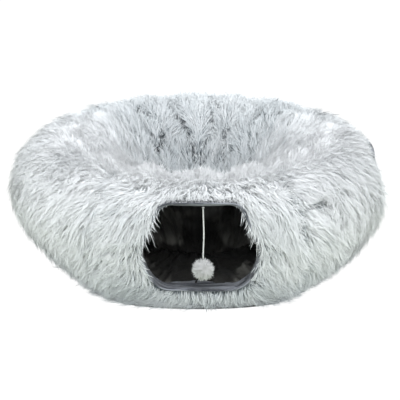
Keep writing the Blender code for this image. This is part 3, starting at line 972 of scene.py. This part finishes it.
def make_fur(finish):
    """The plush of the ring, one piece or more for each sector."""
    surface, owners, tree = outer_skin()
    points, facing, chosen = scatter(surface, 21)
    owner = owners[chosen]
    in_well = owner % 2 == 1
    lie, dark, reach = comb(points, facing, in_well, tree)
    dark = np.maximum(dark, tuft_darkness(points, tree))
    x, y, z = points.T
    measures = {"side": np.abs(x), "y": y, "z": z, "radius": radius_of(points)}
    zones = {name: math.prod(fade(measures[kind], *ends) for kind, *ends in limits)
             for name, (_, *limits) in ZONES.items()}
    zones["low"] *= ~in_well
    # The zones' tones paint shade on the front, deep in the well, low down and on the back, and light on
    # the crest
    tones = FULL_TONE + sum(ZONES[name][0] * share for name, share in zones.items())
    tones += DARK_TONE * dark + CLOUD_TONE * swell(points, 0.13, 17)
    lively = np.clip(np.maximum(0.7 * zones["front"], zones["inside"]) + 0.6 * dark, 0, 1)
    depth = root_depths(points, facing)
    reach, upright, pressed, lie = trim_fringe(points, facing, lie, reach, 22)
    lie += unit(points * [1, 1, 0]) * (LOW_SPLAY * zones["low"])[:, None]
    rise = LOCK_RISE * pressed * (1 - CREASE_DEPTH_SHARE * np.clip(dark, 0, 1))
    locks = grow(points, upright, lie, tones, dark, rise, reach, depth, lively, 23)
    facing[:, 2] = np.maximum(facing[:, 2], LOWEST_FACING)
    locks += (unit(facing + zones["crest"][:, None] * CREST_FACING), lively)
    for number, sector in enumerate(SECTORS):
        mine = np.flatnonzero(owner == number)
        side = -1 if sector.startswith("rear") else 1
        mine = mine[np.argsort(np.arctan2(side * x[mine], -side * y[mine]), kind="stable")]
        shares = np.array_split(mine, max(1, math.ceil(len(mine) / LOCKS_PER_PIECE)))
        for k, share in enumerate(shares, 1):
            name = f"{sector}_plush" + (f"_{k}" if len(shares) > 1 else "")
            mesh = lock_mesh(name, *(part[share] for part in locks))
            add_piece(name, mesh, finish, "white_plush", f"{sector}_fur")


def make_backing(finish):
    """The knitted ground that the locks are rooted in, against the wadding."""
    for sector in SECTORS:
        wadding = tree_of(f"{sector}_wadding")
        mesh = node_copy(f"{sector}_fur")
        outer = []
        for face in mesh.faces:
            centre = face.calc_center_median()
            beside, _, _, distance = wadding.find_nearest(centre)
            if distance > PILE / 8 or face.normal.dot(centre - beside) > 0:
                outer.append(face)
        bmesh.ops.delete(mesh, geom=outer, context="FACES")
        bmesh.ops.reverse_faces(mesh, faces=mesh.faces[:])
        mesh.normal_update()
        thicken(mesh, -BACKING_THICKNESS)
        add_piece(f"{sector}_ground", mesh, finish, "white_plush", f"{sector}_fur")


# Padding, lining, facings and base


def refined(node, cuts):
    """A welded copy of a CAD node with its edges cut up, and its corners."""
    mesh = node_copy(node)
    bmesh.ops.subdivide_edges(mesh, edges=mesh.edges[:], cuts=cuts, use_grid_fill=True)
    bmesh.ops.triangulate(mesh, faces=[face for face in mesh.faces if len(face.verts) > 4])
    mesh.normal_update()
    return mesh, corners_of(mesh)


def move_out(mesh, heights):
    """Move the corners of a mesh along their normals."""
    for vertex, height in zip(mesh.verts, heights):
        vertex.co += vertex.normal * float(height)


def make_wadding(finish):
    """The loose filling of the walls and the floor, a little lumpy and never thicker than its space."""
    for seed, place in enumerate(SECTORS + ["floor"], 31):
        node = f"{place}_wadding"
        mesh, points = refined(node, 1)
        depth = 0.0006 + 0.0005 * swell(points, 0.04, seed)
        move_out(mesh, -np.clip(depth, 0, 0.0012))
        add_piece(f"{node}_filling", mesh, finish, "wadding", node)


def fold_heights(points, seed):
    """Height of the lining's folds: long soft ridges that run up and down, and slanting creases."""
    angle = np.arctan2(points[:, 1], points[:, 0])
    along = np.stack((np.cos(angle) * 0.25, np.sin(angle) * 0.25, points[:, 2] * 0.3), axis=1)
    slanted = np.stack((along[:, 0] + points[:, 2] * 0.35, along[:, 1], points[:, 2] * 0.2), axis=1)
    ridges = 1 - np.abs(swell(along, 0.05, seed))
    creases = 1 - np.abs(swell(slanted, 0.07, seed + 1))
    return 0.0035 * np.clip(ridges, 0, 1) ** 2 + 0.0025 * np.clip(creases, 0, 1) ** 3


def make_lining(finish, floor_finish):
    """The black lining, whose loose inner face lies in folds."""
    for seed, sector in enumerate(SECTORS, 51):
        node = f"{sector}_lining"
        wadding = tree_of(f"{sector}_wadding")
        mesh, points = refined(node, 5)
        loose = np.array([wadding.find_nearest(vertex.co)[3] for vertex in mesh.verts]) > 0.001
        move_out(mesh, fold_heights(points, seed) * loose * fade(points[:, 2], 0.03, 0.07))
        add_piece(f"{node}_cloth", mesh, finish, "black_lining", node)
    mesh, points = refined("floor_lining", 5)
    middle = (points[:, 2].min() + points[:, 2].max()) / 2
    radius = radius_of(points)
    inside = fade(radius, radius.max() - 0.004, radius.max() - 0.05)
    ridges = unit(points * [1, 1, 0]) * 0.25 + points * 0.12
    folds = 0.007 * np.clip(1 - np.abs(swell(ridges, 0.05, 61)) * 1.6, 0, 1) ** 1.5 * inside
    folds += 0.002 * np.clip(1 - np.abs(swell(points, 0.09, 62)), 0, 1) ** 2 * inside
    for vertex, height in zip(mesh.verts, folds * (points[:, 2] > middle)):
        vertex.co.z += height
    add_piece("floor_lining_cloth", mesh, floor_finish, "black_lining", "floor_lining")


def entrance_rim(name):
    """Points around an entrance, in the middle of its facing: the place across it, and its two ends."""
    out = ENTRANCES[name]
    node = f"{name}_entrance_facing"
    tree = tree_of(node)
    low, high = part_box(node)
    centre = (low + high) / 2
    up = Vector((0, 0, 1))
    side = up.cross(out)
    depth = (high - low).dot(Vector([abs(x) for x in out]))
    middle = []
    for k in range(BAND_POINTS):
        turn = math.tau * k / BAND_POINTS
        aim = side * math.cos(turn) + up * math.sin(turn)
        for step in range(BAND_TRIES):
            start = centre + out * depth * (step / (BAND_TRIES - 1) - 0.5)
            hit, face_normal, _, _ = tree.ray_cast(start, aim)
            if hit and abs(face_normal.dot(out)) < 0.1:
                break
        hit -= face_normal * (BAND_THICKNESS / 2 + BAND_CLEARANCE)
        flat = hit - out * hit.dot(out)
        reach = centre.dot(out)
        near = tree.ray_cast(flat + out * (reach - depth), out)[0]
        far = tree.ray_cast(flat + out * (reach + depth), -out)[0]
        middle.append((flat, near.dot(out) + BAND_CLEARANCE, far.dot(out) - BAND_CLEARANCE))
    return middle


def make_facing(name, finish):
    """The nylon band around an entrance, rumpled along its rim, with a lip that is turned up on top."""
    out = ENTRANCES[name]
    node = f"{name}_entrance_facing"
    low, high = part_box(node)
    centre = (low + high) / 2
    middle = entrance_rim(name)
    mesh = bmesh.new()
    bmesh.ops.create_grid(mesh, x_segments=BAND_POINTS, y_segments=BAND_ROWS, size=1)
    for vertex in mesh.verts:
        column = round((vertex.co.x + 1) * BAND_POINTS / 2) % BAND_POINTS
        row = 1 - (1 - (vertex.co.y + 1) / 2) ** ROW_CROWDING
        flat, near, far = middle[column]
        over = max((flat - centre).z, 0) / (high.z - centre.z)
        hem = HEM_DEPTH * (1 - over) * math.exp(-((row - HEM_ROW) / HEM_WIDTH) ** 2)
        inwards = (centre - out * centre.dot(out) - flat).normalized()
        lip = min(max((row - LIP_ROW) / (1 - LIP_ROW), 0), 1) * over ** 2
        along = near + (far - near) * row + LIP_REACH * lip
        vertex.co = flat + inwards * (hem - LIP_HEIGHT * lip) + out * along
    bmesh.ops.remove_doubles(mesh, verts=mesh.verts[:], dist=SEAM_GAP / 20)
    mesh.normal_update()
    squeezed = corners_of(mesh) * (0.3 + 0.7 * np.abs(np.array(out)))
    rumple = 0.001 * np.clip(swell(squeezed, 0.022, 71), 0, 1)
    for vertex, height in zip(mesh.verts, rumple):
        inside = centre - vertex.co
        inside -= out * inside.dot(out)
        vertex.co += inside.normalized() * float(height)
    face_out(mesh)
    thicken(mesh, BAND_THICKNESS)
    add_piece(f"{name}_facing_band", mesh, finish, "grey_nylon", node)


def make_threshold(name, finish):
    """The nylon crescent inside an entrance, rumpled along its long side."""
    node = f"{name}_threshold"
    mesh, points = refined(node, 7)
    low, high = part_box(node)
    size = high - low
    grain = points * [0.35, 1, 0] if size.x > size.y else points * [1, 0.35, 0]
    rumple = 0.0016 * np.clip(swell(grain, 0.014, 81), 0, 1)
    for vertex, height in zip(mesh.verts, rumple * (points[:, 2] > (low.z + high.z) / 2)):
        vertex.co.z += height
    add_piece(f"{name}_threshold_cloth", mesh, finish, "grey_nylon", node)


def make_base(finish):
    """The base cloth with a softened rim."""
    mesh = node_copy("base_cloth")
    bmesh.ops.dissolve_limit(mesh, angle_limit=math.radians(1), verts=mesh.verts[:], edges=mesh.edges[:])
    rim = [edge for edge in mesh.edges if len(edge.link_faces) == 2 and edge.calc_face_angle() > 1]
    bmesh.ops.bevel(mesh, geom=rim, offset=0.0009, segments=3, profile=0.5, affect="EDGES", material=-1)
    bmesh.ops.triangulate(mesh, faces=[face for face in mesh.faces if len(face.verts) > 4])
    made = add_piece("base_cloth_sheet", mesh, finish, "base_cloth", "base_cloth")
    made.data.set_sharp_from_angle(angle=math.radians(50))


def make_mat(plush, ground):
    """The plush mat at the bottom of the well: a thin pad and its pile."""
    low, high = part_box("centre_mat")
    pad = node_copy("centre_mat")
    for vertex in pad.verts:
        vertex.co.z = low.z + (vertex.co.z - low.z) * (1 - BACKING_DEPTH / (high.z - low.z))
    bmesh.ops.subdivide_edges(pad, edges=pad.edges[:], cuts=1, use_grid_fill=True)
    add_piece("mat_pad", pad, ground, "white_plush", "centre_mat")

    cover = node_copy("centre_mat")
    hidden = [face for face in cover.faces if face.normal.z < 0.3]
    bmesh.ops.delete(cover, geom=hidden, context="FACES")
    points, facing, _ = scatter(surface_of(cover), 91)
    cover.free()
    count = len(points)
    lie = unit(np.stack((swell(points, 0.15, 92), swell(points, 0.15, 93) - 0.4, np.zeros(count)), axis=1))
    tones = 1 + 0.06 * swell(points, 0.08, 94)
    reach, depth = np.full(count, LOCK_REACH * 0.7), np.full(count, BACKING_DEPTH)
    dark, lively = np.zeros(count), np.ones(count)
    lines, *others = grow(points, facing, lie, tones, dark, LOCK_RISE, reach, depth, lively, 95)
    distance = np.hypot(lines[..., 0], lines[..., 1])
    lines[..., :2] *= np.minimum(1, (high.x + MAT_OVERHANG) / np.maximum(distance, 1e-6))[..., None]
    mesh = lock_mesh("mat_plush", lines, *others, facing, lively)
    add_piece("mat_plush", mesh, plush, "white_plush", "centre_mat")


def make_pompom():
    """A brushed pompom: short locks that stand out from its middle."""
    low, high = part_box("toy_pompom")
    centre, radius = np.array((low + high) / 2), (high - low).z / 2
    rng = np.random.default_rng(101)
    number = np.arange(POMPOM_LOCKS) + 0.5
    height = 1 - 2 * number / POMPOM_LOCKS
    turn, wide = math.pi * (1 + 5 ** 0.5) * number, np.sqrt(1 - height ** 2)
    out = np.stack((wide * np.cos(turn), wide * np.sin(turn), height), axis=1)
    out = unit(out + rng.normal(0, 0.07, out.shape))
    lumps = 0.9 + 0.08 * swell(out, 0.42, 102)
    length = radius * np.minimum(lumps, 0.97) * (1 + rng.normal(0, 0.012, POMPOM_LOCKS))
    bend = rng.normal(0, 0.0019, out.shape)
    start = radius * 0.3
    lines = [centre + out * (start + (length - start) * share)[:, None] + bend * share ** 2
             for share in LOCK_STEPS]
    sides = np.cross(out, unit(rng.normal(size=out.shape)))
    widths = np.full(POMPOM_LOCKS, POMPOM_LOCK_HALF_WIDTH)
    # A random tone, higher on the lumps that stand out, so that the hollows between them get painted shade
    tones = 0.5 * rng.random(POMPOM_LOCKS) + 6 * np.clip(lumps - 0.86, 0, 0.1)
    lumpy = np.stack([swell(out, 0.5, seed) for seed in (103, 104, 105)], axis=1)
    facing, lively = unit(out + 0.55 * lumpy), np.ones(POMPOM_LOCKS)
    mesh = lock_mesh("pompom", np.stack(lines, axis=1), sides, widths, tones, facing, lively)
    return add_piece("pompom", mesh, pompom_finish(), "pompom_yarn", "toy_pompom", body="toy_ball")


# Stage and light


def make_stage():
    """A pale floor that meets the white background and keeps the object's shadow."""
    mesh = bmesh.new()
    bmesh.ops.create_grid(mesh, x_segments=1, y_segments=1, size=12)
    floor = place_object("floor", finished("floor", mesh))
    finish = Finish("pale_floor", 0.9)
    finish.shader.inputs["Base Color"].default_value = (0.42, 0.46, 0.36, 1)
    glow = finish.node("ShaderNodeEmission", None, {"Color": (1, 1, 1, 1), "Strength": 1.1})
    shown = finish.node("ShaderNodeMixShader", None, {
        0: finish.shown_rays() * 0.95, 1: Value(finish, finish.shader.outputs[0]), 2: glow})
    surface = finish.tree.nodes["Material Output"].inputs["Surface"]
    finish.tree.links.new(shown.socket, surface)
    floor.data.materials.append(finish.material)


def make_light():
    """A white world that is brighter on the object than behind it, and three soft lamps."""
    world = bpy.data.worlds.new("studio")
    bpy.context.scene.world = world
    world.use_nodes = True
    nodes = Nodes(world.node_tree)
    back = nodes.tree.nodes["Background"].inputs
    back["Color"].default_value = (0.93, 0.965, 1.0, 1)
    strength = nodes.node("ShaderNodeMapRange", None, {
        "Value": nodes.shown_rays(), "To Min": 1.42, "To Max": 1.1})
    nodes.tree.links.new(strength.socket, back["Strength"])
    for name, place, energy, size in (
        ("top_light", (0.1, -0.7, 2.6), 22, 2.6),
        ("front_light", (0.7, -2.4, 1.2), 7, 1.8),
        ("side_light", (-2.2, 0.4, 1.2), 5, 1.4),
    ):
        data = bpy.data.lights.new(name, "AREA")
        data.energy, data.size = energy, size
        lamp = place_object(name, data)
        lamp.location = place
        lamp.rotation_euler = (AIM - Vector(place)).to_track_quat("-Z", "Y").to_euler()


LOCK = unit_lock()


def main():
    place_camera()
    pompom = make_pompom()
    make_elastic()
    make_knot()
    plush, ground = plush_finish(), backing_finish()
    lining, nylon = lining_finish("black_taffeta", (1, 1, 0.5)), nylon_finish()
    make_fur(plush)
    make_backing(ground)
    make_mat(plush, ground)
    make_wadding(wadding_finish())
    make_lining(lining, lining_finish("floor_taffeta", (1, 0.3, 1)))
    for name in ENTRANCES:
        make_facing(name, nylon)
        make_threshold(name, nylon)
    make_base(base_finish())
    make_stage()
    make_light()
    bpy.context.scene.view_settings.view_transform = "Standard"


main()
